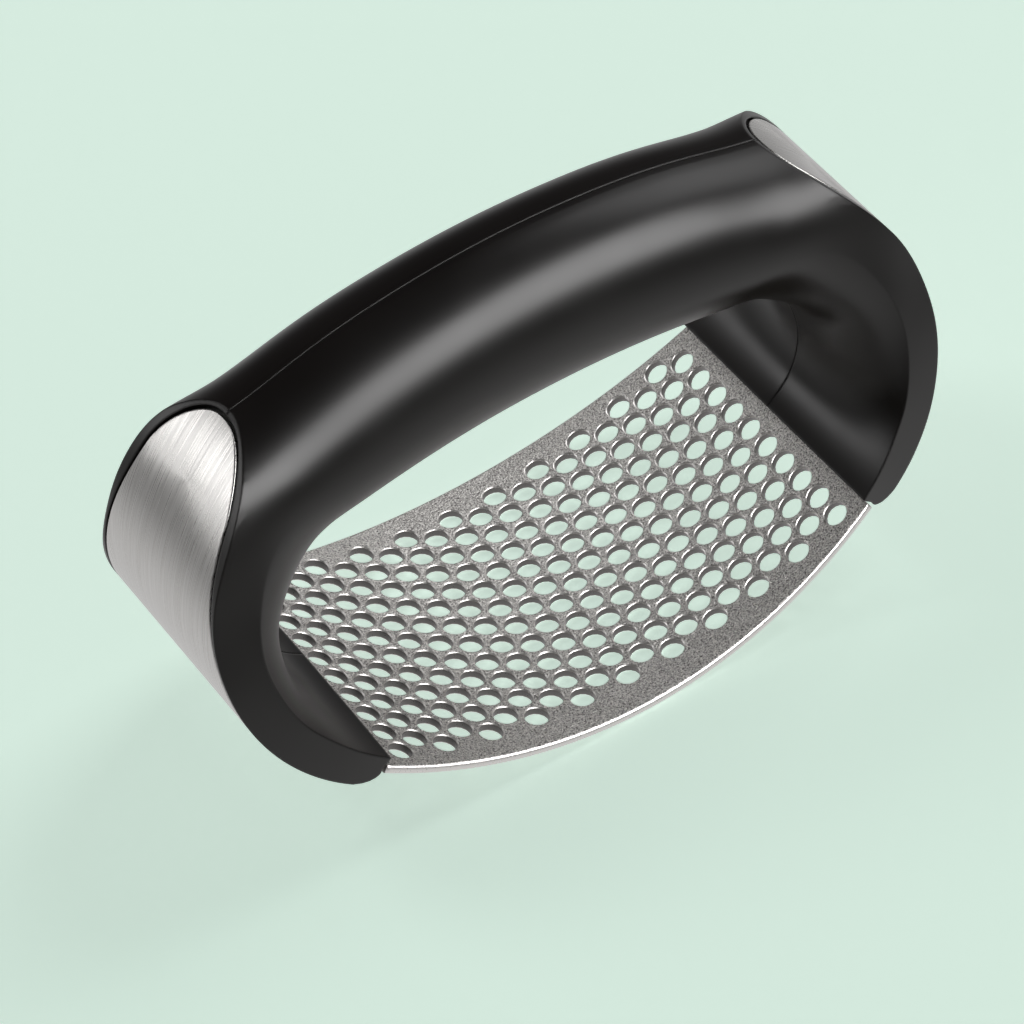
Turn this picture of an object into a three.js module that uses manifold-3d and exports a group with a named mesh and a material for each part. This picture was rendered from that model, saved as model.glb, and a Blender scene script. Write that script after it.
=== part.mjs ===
// Rocking garlic press: a curved perforated steel plate under a hollow two-part handle.
// Millimetres. X runs along the press, Y across it, +Z is up. The origin is where the
// plate's underside touches the table, below the middle of the grip.

import * as THREE from 'three';
import Module from 'manifold-3d';
import { LoftGeometry } from 'three/addons/geometries/LoftGeometry.js';
import { mergeVertices } from 'three/addons/utils/BufferGeometryUtils.js';

// ---------------------------------------------------------------- driving dimensions

// press plate
const rocker_radius = 83.4;            // underside of the plate, seen from the front
const rest_flat_depth = 0.1;           // the lowest part of the arc is flattened by this much
const plate_half_length = 43.4;        // middle to each visible end
const plate_thickness = 1.5;
const plate_front_end = 25.9;          // half width at the ends, towards the front
const plate_front_bulge = 3.4;         // how much more the front edge stands out in the middle
const plate_rear_end = 24.4;
const plate_rear_bulge = 3.7;
const plate_corner = 1.2;
const hole_pitch = 4.7;                // between neighbouring holes, in any direction
const hole_across = 3.76;
const hole_sides = 6;
const hole_end_gap = 4.2;              // least distance from a hole's middle to the plate's end
const hole_side_gap = 2;               // and to its rear edge
const tab_cover = 5.5;                 // wall beside the widest part of the tab that it holds
const tab_ear = 3;                     // step that the closed shells lock behind
const tab_ear_length = 4.3;
const tab_end_cover = 2.4;             // the tab stops this far behind the end face

// outline of the handle, seen from the front
const end_radius = 30.8;               // outside of each end wall
const tip_length = 3.94;               // from the plate's end, along its arc, to the end arc
const tip_depth = 2.57;                // how far below the plate's arc the end arc starts
const shoulder_radius = 52.2;
const shoulder_sweep = 34;             // degrees, long enough to run clear over the grip's top
const crown_inset = 16.5;              // from the end of the press to where the crown starts
const grip_top = 74.9;
const crown_radius = 143;              // top of the grip, along the press
const grip_depth = 27.2;               // top to underside, at the middle
const grip_half_width = 13.4;
const nose_drop = 0.6;                 // how far the wall tip reaches below the plate's end
const nose_length = 1.2;
const lip_height = 1.75;               // handle tip above the plate's top face

// flanks of the end walls
const flank_foot_half_width = 25.54;   // level with the plate's ends
const flank_top_half_width = 10.66;    // level with the tops of the bands
const flank_tuck = 0.2;                // wider by this share of the depth behind the end face

// shells
const shell_wall = 2.4;
const seam_gap = 0.3;
const fit_gap = 0.3;                   // between pieces that touch or are cut to each other

// end bands
const band_thickness = 1.2;
const band_gap = 0.45;                 // visible gap round the band
const band_foot_turn = 12.94;          // degrees on the end arc from the wall tip to the band
const band_foot_rim = 1.88;            // plastic beside the band at its foot
const band_neck_rim = 1.6;             // and where its round top starts
const band_top_drop = 7.7;             // top of the grip to the band's top
const band_round_height = 8.7;
const band_corner = 2;
const pad_thickness = 0.3;             // bonding film behind the band
const pad_play = 0.05;                 // on each face of the film
const pad_margin = 1;                  // the film ends this far inside the band's outline

// fixings
const tie_plate_angle = 9.5;           // degrees up the shoulder arc
const tie_plate_half_length = 9.5;
const tie_plate_half_height = 4.5;
const tie_plate_thickness = 1.4;
const tie_sink = 0.75;                 // the flat plate sits below the curved pocket floor
const tie_screw_y = 5.6;
const screw_shank_radius = 1.25;
const screw_head_radius = 2.3;
const screw_head_height = 1.1;
const screw_head_rim = 0.25;
const tie_screw_length = 8;
const dowel_radius = 2;
const dowel_half_length = 7;
const dowel_boss_radius = 4.4;
const grip_dowel_spacing = 27;
const wall_dowel_angle = -27;          // degrees on the end arc
const wall_dowel_depth = 6.6;          // behind the end face

// working allowances
const cutter_reach = 5;                // how far a cutter runs past the face that it opens
const clear_half_width = 45;           // further than any piece reaches across the press
const merge_tolerance = 0.01;          // flat faces within this are joined after the cuts

// ---------------------------------------------------------------- materials

function finish(color, roughness, metalness) {
  return new THREE.MeshStandardMaterial({ color, roughness, metalness });
}

const brushed_steel = finish(0xc8c7c5, 0.32, 1);
const satin_steel = finish(0xb9b7b4, 0.42, 1);
const zinc_steel = finish(0xa9adb0, 0.45, 1);
const black_plastic = finish(0x1c1c1b, 0.42, 0);
const bonding_film = finish(0x6d6d6a, 0.8, 0);

// ---------------------------------------------------------------- solids

const wasm = await Module();
wasm.setup();

const x_axis = new THREE.Vector3(1, 0, 0);
const y_axis = new THREE.Vector3(0, 1, 0);
const z_axis = new THREE.Vector3(0, 0, 1);

// merges shared corners and drops the triangles that vanish where a section closes to a point
function solidOf(geometry) {
  const bare = new THREE.BufferGeometry().copy(geometry);
  bare.deleteAttribute('normal');
  bare.deleteAttribute('uv');
  const merged = mergeVertices(bare, 1e-4);
  const corners = merged.index.array;
  const kept = [];
  for (let i = 0; i < corners.length; i += 3) {
    const [a, b, c] = corners.slice(i, i + 3);
    if (a !== b && b !== c && c !== a) {
      kept.push(a, b, c);
    }
  }
  const vertProperties = new Float32Array(merged.attributes.position.array);
  return new wasm.Manifold(new wasm.Mesh({ numProp: 3, vertProperties, triVerts: new Uint32Array(kept) }));
}

// flat faces that the cuts left in strips are joined up again, within the merge tolerance
function meshOf(name, solid, material) {
  const cut = solid.asOriginal().simplify(merge_tolerance).getMesh();
  const geometry = new THREE.BufferGeometry();
  geometry.setAttribute('position', new THREE.Float32BufferAttribute(cut.vertProperties, 3));
  geometry.setIndex(new THREE.Uint32BufferAttribute(cut.triVerts, 1));
  geometry.computeVertexNormals();
  const mesh = new THREE.Mesh(geometry, material);
  mesh.name = name;
  return mesh;
}

// a side view (x, z) given a width across the press
function acrossPress(shape, half_width, curve_segments = 8) {
  const geometry = new THREE.ExtrudeGeometry(shape, {
    depth: 2 * half_width, bevelEnabled: false, curveSegments: curve_segments,
  });
  geometry.translate(0, 0, -half_width);
  geometry.applyMatrix4(new THREE.Matrix4().makeBasis(x_axis, z_axis, y_axis.clone().negate()));
  return solidOf(geometry);
}

// an end view (y, z) given a length along the press
function alongPress(shape, from_x, to_x, curve_segments = 8) {
  const geometry = new THREE.ExtrudeGeometry(shape, {
    depth: to_x - from_x, bevelEnabled: false, curveSegments: curve_segments,
  });
  geometry.translate(0, 0, from_x);
  geometry.applyMatrix4(new THREE.Matrix4().makeBasis(y_axis, z_axis, x_axis));
  return solidOf(geometry);
}

// a top view (x, y) given a height
function upright(shape, from_z, to_z, curve_segments = 8) {
  const geometry = new THREE.ExtrudeGeometry(shape, {
    depth: to_z - from_z, bevelEnabled: false, curveSegments: curve_segments,
  });
  geometry.translate(0, 0, from_z);
  return solidOf(geometry);
}

function box(centre, size) {
  const geometry = new THREE.BoxGeometry(size.x, size.y, size.z);
  geometry.translate(centre.x, centre.y, centre.z);
  return solidOf(geometry);
}

// a turned piece whose axis starts at a point and runs along a direction
function turned(profile, start, direction, sides = 12) {
  const geometry = new THREE.LatheGeometry(profile, sides);
  geometry.applyQuaternion(new THREE.Quaternion().setFromUnitVectors(y_axis, direction));
  geometry.translate(start.x, start.y, start.z);
  return solidOf(geometry);
}

function rod(start, direction, radius, length, sides = 12) {
  const profile = [
    new THREE.Vector2(0, 0), new THREE.Vector2(radius, 0),
    new THREE.Vector2(radius, length), new THREE.Vector2(0, length),
  ];
  return turned(profile, start, direction, sides);
}

function mirrored(solid) {
  return solid.mirror([1, 0, 0]);
}

// ---------------------------------------------------------------- curves in the side view

function polar(centre_x, centre_z, radius, degrees) {
  const angle = THREE.MathUtils.degToRad(degrees);
  return new THREE.Vector2(centre_x + radius * Math.cos(angle), centre_z + radius * Math.sin(angle));
}

const rocker_centre_z = rocker_radius - rest_flat_depth;
const plate_end_angle = THREE.MathUtils.radToDeg(Math.asin(plate_half_length / rocker_radius));

// a point on the rocker arc, at an angle from straight down, a height above the underside
function onRocker(degrees, height = 0) {
  return polar(0, rocker_centre_z, rocker_radius - height, degrees - 90);
}

// the end arc starts past the plate's ends, below the plate's arc and parallel to it
const plate_end_z = onRocker(plate_end_angle).y;
const tip_turn = plate_end_angle + THREE.MathUtils.radToDeg(tip_length / rocker_radius);
const tip_angle = tip_turn - 90;
const end_centre = onRocker(tip_turn, end_radius - tip_depth);
const press_half_length = end_centre.x + end_radius;

// a point on the outside of the end wall, a depth below its face
function onEnd(degrees, depth = 0) {
  return polar(end_centre.x, end_centre.y, end_radius - depth, degrees);
}

// a point on top of the grip, a depth below its ridge line
function onCrown(x, depth = 0) {
  const centre_z = grip_top - crown_radius;
  const reach = Math.sqrt(crown_radius ** 2 - x ** 2);
  const scale = (crown_radius - depth) / crown_radius;
  return new THREE.Vector2(x * scale, centre_z + reach * scale);
}

// the crossing of two circles that lies to the left, seen from the first centre to the second
function crossing(centre_a, radius_a, centre_b, radius_b) {
  const line = centre_b.clone().sub(centre_a);
  const apart = line.length();
  const cosine = (radius_a ** 2 + apart ** 2 - radius_b ** 2) / (2 * radius_a * apart);
  const degrees = THREE.MathUtils.radToDeg(Math.atan2(line.y, line.x) + Math.acos(cosine));
  return polar(centre_a.x, centre_a.y, radius_a, degrees);
}

// the shoulder arc leaves the end arc without a kink and runs to where the crown starts
const crown_start = onCrown(press_half_length - crown_inset);
const shoulder_centre = crossing(end_centre, shoulder_radius - end_radius, crown_start, shoulder_radius);
const shoulder_line = end_centre.clone().sub(shoulder_centre);
const shoulder_start = THREE.MathUtils.radToDeg(Math.atan2(shoulder_line.y, shoulder_line.x));

// a point on the shoulder, at an angle past the end of the end arc
function onShoulder(degrees, depth = 0) {
  return polar(shoulder_centre.x, shoulder_centre.y, shoulder_radius - depth, shoulder_start + degrees);
}

function shoulderAngleAtHeight(z) {
  const angle = Math.asin((z - shoulder_centre.y) / shoulder_radius);
  return THREE.MathUtils.radToDeg(angle) - shoulder_start;
}

// the end face from one end-arc angle up to a shoulder angle, at a depth
function endFaceLine(from_degrees, shoulder_degrees, depth) {
  const end_steps = 12;
  const shoulder_steps = 5;
  const points = [];
  for (let i = 0; i <= end_steps; i++) {
    points.push(onEnd(THREE.MathUtils.lerp(from_degrees, shoulder_start, i / end_steps), depth));
  }
  for (let i = 1; i <= shoulder_steps; i++) {
    points.push(onShoulder(shoulder_degrees * i / shoulder_steps, depth));
  }
  return points;
}

// ---------------------------------------------------------------- press plate

// as many staggered columns and rows of holes as the plate has room for
const column_spacing = hole_pitch * Math.sin(Math.PI / 3);
const middle_radius = rocker_radius - plate_thickness / 2;
const column_angle = THREE.MathUtils.radToDeg(column_spacing / middle_radius);
const half_arc = THREE.MathUtils.degToRad(plate_end_angle) * middle_radius;
const hole_columns = 2 * Math.floor((half_arc - hole_end_gap) / column_spacing) + 1;
const row_room = 2 * (plate_rear_end - hole_side_gap) / hole_pitch;
const holes_per_column = Math.floor(row_room - 0.5) + 1;

// flat facets, one to each column of holes, touching the true arc at their middles
function rockerLine(end_angle, height) {
  const stretch = 1 / Math.cos(THREE.MathUtils.degToRad(column_angle / 2));
  const points = [];
  const facets = Math.ceil(end_angle / column_angle + 0.5);
  for (let i = -facets; i <= facets; i++) {
    const degrees = (i - 0.5 * Math.sign(i)) * column_angle;
    if (i !== 0) {
      points.push(polar(0, rocker_centre_z, (rocker_radius - height) * stretch, degrees - 90));
    }
  }
  return points;
}

// top view: straight ends with small corners, and long edges that bulge towards the middle
function plateOutline() {
  const end_x = plate_half_length;
  const corner_x = end_x - plate_corner;
  const front = -plate_front_end;
  const rear = plate_rear_end;
  const outline = new THREE.Shape();
  outline.moveTo(-end_x, front + plate_corner);
  outline.lineTo(-corner_x, front);
  outline.quadraticCurveTo(0, front - 2 * plate_front_bulge, corner_x, front);
  outline.lineTo(end_x, front + plate_corner);
  outline.lineTo(end_x, rear - plate_corner);
  outline.lineTo(corner_x, rear);
  outline.quadraticCurveTo(0, rear + 2 * plate_rear_bulge, -corner_x, rear);
  outline.lineTo(-end_x, rear - plate_corner);
  outline.closePath();
  return outline;
}

function rectangle(half_length, half_width) {
  return new THREE.Shape([
    new THREE.Vector2(-half_length, -half_width), new THREE.Vector2(half_length, -half_width),
    new THREE.Vector2(half_length, half_width), new THREE.Vector2(-half_length, half_width),
  ]);
}

// the tab runs on along the arc until it comes too near the end face
const rocker_centre = new THREE.Vector2(0, rocker_centre_z);
const tab_end = crossing(rocker_centre, rocker_radius, end_centre, end_radius - tab_end_cover);
const tab_end_angle = THREE.MathUtils.radToDeg(Math.atan2(tab_end.x, rocker_centre_z - tab_end.y));
const tab_ear_angle = THREE.MathUtils.radToDeg(tab_ear_length / rocker_radius);
const tab_ear_half_width = flank_foot_half_width - tab_cover;
const tab_neck_half_width = tab_ear_half_width - tab_ear;

// The plate and its two T-shaped tabs seen from above, as an upright block to cut the sheet
// with. The plate's own block starts at the table, which leaves the flat that it rests on.
function plateBlock(extra) {
  const bottom = extra > 0 ? -cutter_reach : 0;
  const top = rocker_radius / 2;
  const ear_end = tab_end.x + extra;
  const ear_start = onRocker(tab_end_angle - tab_ear_angle).x - extra;
  const neck = upright(rectangle(ear_end, tab_neck_half_width + extra), bottom, top);
  const between_ears = rectangle(ear_start, plate_front_end);
  const ears = upright(rectangle(ear_end, tab_ear_half_width + extra), bottom, top)
    .subtract(upright(between_ears, bottom - cutter_reach, top + cutter_reach));
  return upright(plateOutline(), bottom, top, 24).add(neck).add(ears);
}

// the bent sheet, thickened by a gap on both faces when it is used as a cutter
function bentSheet(gap) {
  const sheet_end_angle = tab_end_angle + column_angle;
  const below = rockerLine(sheet_end_angle, -gap);
  const above = rockerLine(sheet_end_angle, plate_thickness + gap);
  return acrossPress(new THREE.Shape([...below, ...above.reverse()]), clear_half_width);
}

// one column of holes, drilled square to the plate, a quarter pitch to one side or the other
function columnOfHoles(column) {
  const degrees = (column - (hole_columns - 1) / 2) * column_angle;
  const outer = onRocker(degrees, -plate_thickness);
  const inner = onRocker(degrees, 2 * plate_thickness);
  const direction = new THREE.Vector3(inner.x - outer.x, 0, inner.y - outer.y).normalize();
  const stagger = column % 2 === 0 ? -hole_pitch / 4 : hole_pitch / 4;
  const holes = [];
  for (let row = 0; row < holes_per_column; row++) {
    const y = (row - (holes_per_column - 1) / 2) * hole_pitch + stagger;
    const start = new THREE.Vector3(outer.x, y, outer.y);
    holes.push(rod(start, direction, hole_across / 2, 3 * plate_thickness, hole_sides));
  }
  return holes;
}

function pressPlate() {
  const holes = [];
  for (let column = 0; column < hole_columns; column++) {
    holes.push(...columnOfHoles(column));
  }
  return bentSheet(0).intersect(plateBlock(0)).subtract(wasm.Manifold.union(holes));
}

// ---------------------------------------------------------------- end bands

const band_top_z = grip_top - band_top_drop;
const band_neck_z = band_top_z - band_round_height;
const band_foot_angle = tip_angle + band_foot_turn;
const band_foot_z = onEnd(band_foot_angle).y;

// half width of the end walls at a height, a depth behind the end face
function flankHalfWidth(z, depth) {
  const share = (z - plate_end_z) / (band_top_z - plate_end_z);
  const at_face = THREE.MathUtils.lerp(flank_foot_half_width, flank_top_half_width, share);
  return at_face + flank_tuck * depth;
}

// end view of the band: straight foot, leaning sides, round top
function bandOutline(extra) {
  const foot_z = band_foot_z - extra;
  const shoulder_z = foot_z + band_corner;
  const foot = flankHalfWidth(shoulder_z, 0) - band_foot_rim + extra;
  const neck = flankHalfWidth(band_neck_z, 0) - band_neck_rim + extra;
  const top = band_top_z + extra;
  const lean = 0.5;
  const pull_z = band_neck_z + band_round_height / 2;
  const outline = new THREE.Shape();
  outline.moveTo(band_corner - foot, foot_z);
  outline.lineTo(foot - band_corner, foot_z);
  outline.lineTo(foot, shoulder_z);
  outline.lineTo(neck, band_neck_z);
  outline.bezierCurveTo(neck - lean, pull_z, neck / 2, top, 0, top);
  outline.bezierCurveTo(-neck / 2, top, lean - neck, pull_z, -neck, band_neck_z);
  outline.lineTo(-foot, shoulder_z);
  outline.closePath();
  return outline;
}

// a layer behind the end face, between two depths, cut to the band's outline
function endLayer(from_depth, to_depth, extra) {
  const overrun = 6;
  const top = shoulderAngleAtHeight(band_top_z) + overrun;
  const outside = endFaceLine(band_foot_angle - overrun, top, from_depth);
  const inside = endFaceLine(band_foot_angle - overrun, top, to_depth);
  const layer = acrossPress(new THREE.Shape([...outside, ...inside.reverse()]), clear_half_width);
  return layer.intersect(alongPress(bandOutline(extra), end_centre.x, 2 * press_half_length));
}

const pad_from = band_thickness + pad_play;
const pocket_depth = pad_from + pad_thickness + pad_play;

function rightBand() {
  return endLayer(0, band_thickness, 0);
}

function rightPad() {
  return endLayer(pad_from, pad_from + pad_thickness, -pad_margin);
}

// ---------------------------------------------------------------- ties under the bands

function tieFrame() {
  const face = onShoulder(tie_plate_angle, pocket_depth);
  const below = onShoulder(tie_plate_angle, pocket_depth + 1);
  const inward = new THREE.Vector3(below.x - face.x, 0, below.y - face.y).normalize();
  const along = new THREE.Vector3().crossVectors(inward, y_axis).normalize();
  return { origin: new THREE.Vector3(face.x, 0, face.y), inward, along };
}

function tieBlock(from_depth, to_depth, extra) {
  const { origin, inward, along } = tieFrame();
  const length = 2 * (tie_plate_half_length + extra);
  const height = 2 * (tie_plate_half_height + extra);
  const geometry = new THREE.BoxGeometry(length, height, to_depth - from_depth);
  geometry.translate(0, 0, (from_depth + to_depth) / 2);
  const across = y_axis.clone().negate();
  geometry.applyMatrix4(new THREE.Matrix4().makeBasis(across, along.negate(), inward));
  geometry.translate(origin.x, origin.y, origin.z);
  return solidOf(geometry);
}

function screwProfile(length, extra) {
  const shank = screw_shank_radius + extra;
  const head = screw_head_radius + extra;
  return [
    new THREE.Vector2(0, 0),
    new THREE.Vector2(head, 0),
    new THREE.Vector2(head, screw_head_rim),
    new THREE.Vector2(shank, screw_head_height + extra),
    new THREE.Vector2(shank, length - shank + extra),
    new THREE.Vector2(0, length + extra),
  ];
}

function tieScrewPlace(y) {
  const { origin, inward } = tieFrame();
  const start = origin.clone().addScaledVector(inward, tie_sink);
  start.y = y;
  return { start, direction: inward };
}

function tieScrew(y, extra) {
  const { start, direction } = tieScrewPlace(y);
  return turned(screwProfile(tie_screw_length, extra), start, direction);
}

function rightTiePlate() {
  let plate = tieBlock(tie_sink, tie_sink + tie_plate_thickness, 0);
  for (const y of [-tie_screw_y, tie_screw_y]) {
    const { start, direction } = tieScrewPlace(y);
    const from = start.clone().addScaledVector(direction, -merge_tolerance);
    plate = plate.subtract(turned(screwProfile(tie_screw_length, fit_gap), from, direction));
  }
  return plate;
}

// ---------------------------------------------------------------- handle

// Stations run from the wall tip up and over to the middle of the grip. Each has a point on
// the outside line, a point on the inside line, the share of the depth where the section is
// widest, its half width there and at the outside, and how round it is (0 wall, 1 grip).
// The loft is too deep by a margin at the outside, which the end faces then trim.
const clip_margin = 3.2;
const wall_stations = [
  { angle: tip_angle - 9.1, inside: 5.6, edge: 5.3, round: 0 },
  { angle: tip_angle + 5.9, inside: 6.8, edge: 6.3, round: 0 },
  { angle: -34, inside: 9.5, edge: 6.5, round: 0 },
  { angle: -20, inside: 12.5, edge: 6.4, round: 0 },
  { angle: -3, inside: 15.8, edge: 6.3, round: 0.05 },
  { angle: 18, inside: 20.2, edge: 6.4, round: 0.25 },
];
// distances in from the end of the press, along the crown and along the underside
const grip_stations = [
  { top_in: 4.7, under_in: 26.2, under_rise: -4.0, widest: 0.44, wider: 1.2, round: 0.85 },
  { top_in: 16.7, under_in: 32.7, under_rise: -2.2, widest: 0.48, wider: 0.4, round: 1 },
  { top_in: 30.7, under_in: 40.7, under_rise: -1, widest: 0.5, wider: 0.3, round: 1 },
  { top_in: 46.2, under_in: 50.7, under_rise: -0.25, widest: 0.5, wider: 0.1, round: 1 },
];

function wallStation({ angle, inside, edge, round }) {
  const at_edge = onEnd(angle, edge);
  return {
    outer: onEnd(angle, -clip_margin), inner: onEnd(angle, inside), round,
    widest: (edge + clip_margin) / (inside + clip_margin),
    edge_half_width: flankHalfWidth(at_edge.y, edge),
    outer_half_width: flankHalfWidth(onEnd(angle).y, -2 * clip_margin),
  };
}

function gripStation({ top_in, under_in, under_rise, widest, wider, round }) {
  const under_z = grip_top - grip_depth + under_rise;
  const half_width = grip_half_width + wider;
  return {
    outer: onCrown(press_half_length - top_in),
    inner: new THREE.Vector2(press_half_length - under_in, under_z),
    round, widest, edge_half_width: half_width, outer_half_width: half_width,
  };
}

function stationsOfHalf() {
  const middle = {
    top_in: press_half_length, under_in: press_half_length, under_rise: 0,
    widest: 0.5, wider: 0, round: 1,
  };
  return [...wall_stations.map(wallStation), ...[...grip_stations, middle].map(gripStation)];
}

function wholeHandleStations() {
  const half = stationsOfHalf();
  const other = half.slice(0, -1).reverse().map((station) => ({
    ...station,
    outer: new THREE.Vector2(-station.outer.x, station.outer.y),
    inner: new THREE.Vector2(-station.inner.x, station.inner.y),
  }));
  return [...half, ...other];
}

// A point of the outer half of a section, from +y over the outside to -y: y and depth. A wall
// has straight flanks and a flat outside, the grip is an ellipse, and others lie in between.
function outsidePoint(share, middle, edge, outer, top, round) {
  const flank_share = 0.22;
  const turn = Math.PI * share;
  const from_side = Math.min(share, 1 - share) / flank_share;
  const side = share <= 0.5 ? 1 : -1;
  let wall_y = side * THREE.MathUtils.lerp(edge, outer, from_side);
  let wall_d = THREE.MathUtils.lerp(middle, top, from_side);
  if (from_side > 1) {
    wall_y = side * outer * (0.5 - Math.min(share, 1 - share)) / (0.5 - flank_share);
    wall_d = top;
  }
  const round_d = middle - (middle - top) * Math.sin(turn);
  return [
    THREE.MathUtils.lerp(wall_y, edge * Math.cos(turn), round),
    THREE.MathUtils.lerp(wall_d, round_d, round),
  ];
}

// a point of the inner half, from -y under the inside back to +y, with a crisp corner on a wall
function insidePoint(share, middle, edge, bottom, round) {
  const turn = Math.PI * share;
  const swell = Math.sin(turn) ** (2 - round);
  return [-edge * Math.cos(turn), middle + (bottom - middle) * swell];
}

// One section, across the press in y and in depth along the line from outer to inner, turned
// round at the end so that the faces of the loft point out.
function sectionRing(station, inset, half_points) {
  const line = new THREE.Vector2().subVectors(station.inner, station.outer);
  const bottom = line.length() - inset;
  const middle = station.widest * line.length();
  line.normalize();
  const edge = station.edge_half_width - inset;
  const outer = station.outer_half_width - inset;
  const ring = [];
  for (let i = 0; i < 2 * half_points; i++) {
    const share = (i % half_points) / half_points;
    const [y, d] = i < half_points
      ? outsidePoint(share, middle, edge, outer, inset, station.round)
      : insidePoint(share, middle, edge, bottom, station.round);
    const at = station.outer.clone().addScaledVector(line, d);
    ring.push(new THREE.Vector3(at.x, y, at.y));
  }
  return ring.reverse();
}

// a section drawn together to its middle, which closes the end of a loft
function closedAt(section) {
  const middle = new THREE.Vector3();
  for (const point of section) {
    middle.addScaledVector(point, 1 / section.length);
  }
  return section.map(() => middle.clone());
}

// a smooth line through one value, or a pair of them, of every station
function throughStations(stations, pair) {
  return new THREE.CatmullRomCurve3(stations.map((station) => {
    const [first, second] = pair(station);
    return new THREE.Vector3(first, second, 0);
  }));
}

function handleLoft(inset, stations, steps, half_points) {
  const outers = throughStations(stations, (s) => [s.outer.x, s.outer.y]);
  const inners = throughStations(stations, (s) => [s.inner.x, s.inner.y]);
  const shapes = throughStations(stations, (s) => [s.widest, s.round]);
  const widths = throughStations(stations, (s) => [s.edge_half_width, s.outer_half_width]);
  const sections = [];
  for (let i = 0; i <= steps; i++) {
    const outer = outers.getPoint(i / steps);
    const inner = inners.getPoint(i / steps);
    const shape = shapes.getPoint(i / steps);
    const width = widths.getPoint(i / steps);
    sections.push(sectionRing({
      outer: new THREE.Vector2(outer.x, outer.y),
      inner: new THREE.Vector2(inner.x, inner.y),
      widest: THREE.MathUtils.clamp(shape.x, 0, 0.97),
      round: THREE.MathUtils.clamp(shape.y, 0, 1),
      edge_half_width: width.x,
      outer_half_width: width.y,
    }, inset, half_points));
  }
  return solidOf(new LoftGeometry([closedAt(sections[0]), ...sections, closedAt(sections.at(-1))]));
}

// everything inside the end faces, the noses of the wall tips and the plate's end line
function outerClip() {
  const nose = onRocker(plate_end_angle);
  const lip = onRocker(plate_end_angle, plate_thickness + lip_height);
  const end_face = endFaceLine(tip_angle, shoulder_sweep, 0);
  const above = new THREE.Vector2(end_face.at(-1).x / 2, grip_top + cutter_reach);
  const right = [
    lip,
    new THREE.Vector2(nose.x + 0.2, nose.y + 0.5),
    new THREE.Vector2(nose.x + nose_length, nose.y - nose_drop),
    ...end_face,
    above,
  ];
  const left = right.map((point) => new THREE.Vector2(-point.x, point.y)).reverse();
  return acrossPress(new THREE.Shape([...right, ...left]), clear_half_width);
}

function outerBody() {
  return handleLoft(0, wholeHandleStations(), 52, 14).intersect(outerClip());
}

// the hollow ends a few stations before each wall tip, which stays solid round the plate's tab
function cavity() {
  const first_hollow = 3;
  const stations = wholeHandleStations();
  const hollow = stations.slice(first_hollow, stations.length - first_hollow);
  return handleLoft(shell_wall, hollow, 28, 8);
}

// where each dowel crosses the seam: three along the grip, one in each end wall
function dowelPlaces() {
  const places = [-1, 0, 1].map((step, index) => ({
    name: `grip_dowel_${index + 1}`, at: onCrown(step * grip_dowel_spacing, grip_depth / 2),
  }));
  const at = onEnd(wall_dowel_angle, wall_dowel_depth);
  places.push({ name: 'left_wall_dowel', at: new THREE.Vector2(-at.x, at.y) });
  places.push({ name: 'right_wall_dowel', at });
  return places;
}

function dowel(at, extra) {
  const half_length = dowel_half_length + extra;
  const start = new THREE.Vector3(at.x, -half_length, at.y);
  return rod(start, y_axis, dowel_radius + extra, 2 * half_length);
}

// solid bosses that stay inside the hollow: round each dowel and behind each band
function bosses() {
  const kept = dowelPlaces().map(({ at }) => {
    const start = new THREE.Vector3(at.x, -clear_half_width, at.y);
    return rod(start, y_axis, dowel_boss_radius, 2 * clear_half_width);
  });
  const side_wall = shell_wall - tie_sink;
  const tie_block = tieBlock(-cutter_reach, tie_screw_length + shell_wall, side_wall);
  const pocket_floor = endLayer(-cutter_reach, pocket_depth + shell_wall, side_wall);
  for (const block of [tie_block, pocket_floor]) {
    kept.push(block, mirrored(block));
  }
  return wasm.Manifold.union(kept);
}

function wholeHandle() {
  return outerBody().subtract(cavity().subtract(bosses()));
}

function cutForFittings(handle) {
  const cuts = [];
  const right_side = [
    endLayer(-cutter_reach, pocket_depth, band_gap),
    tieBlock(-pocket_depth, tie_sink + tie_plate_thickness + fit_gap, fit_gap),
    tieScrew(-tie_screw_y, fit_gap),
    tieScrew(tie_screw_y, fit_gap),
  ];
  for (const cut of right_side) {
    cuts.push(cut, mirrored(cut));
  }
  cuts.push(bentSheet(fit_gap).intersect(plateBlock(fit_gap)));
  for (const { at } of dowelPlaces()) {
    cuts.push(dowel(at, fit_gap));
  }
  return handle.subtract(wasm.Manifold.union(cuts));
}

function shells() {
  const handle = cutForFittings(wholeHandle());
  const reach = 4 * press_half_length;
  const half_space = (side) => box(
    new THREE.Vector3(0, side * (reach + seam_gap) / 2, grip_top / 2),
    new THREE.Vector3(reach, reach, reach)
  );
  return { front: handle.intersect(half_space(-1)), rear: handle.intersect(half_space(1)) };
}

// ---------------------------------------------------------------- assembly

const garlic_press = new THREE.Group();
const { front, rear } = shells();
garlic_press.add(meshOf('press_plate', pressPlate(), satin_steel));
garlic_press.add(meshOf('front_shell', front, black_plastic));
garlic_press.add(meshOf('rear_shell', rear, black_plastic));

const right_pieces = [
  ['end_band', rightBand(), brushed_steel],
  ['bonding_pad', rightPad(), bonding_film],
  ['tie_plate', rightTiePlate(), zinc_steel],
  ['front_tie_screw', tieScrew(-tie_screw_y, 0), zinc_steel],
  ['rear_tie_screw', tieScrew(tie_screw_y, 0), zinc_steel],
];
for (const [name, solid, material] of right_pieces) {
  garlic_press.add(meshOf(`right_${name}`, solid, material));
  garlic_press.add(meshOf(`left_${name}`, mirrored(solid), material));
}

for (const { name, at } of dowelPlaces()) {
  garlic_press.add(meshOf(name, dowel(at, 0), black_plastic));
}

export default garlic_press;
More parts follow.
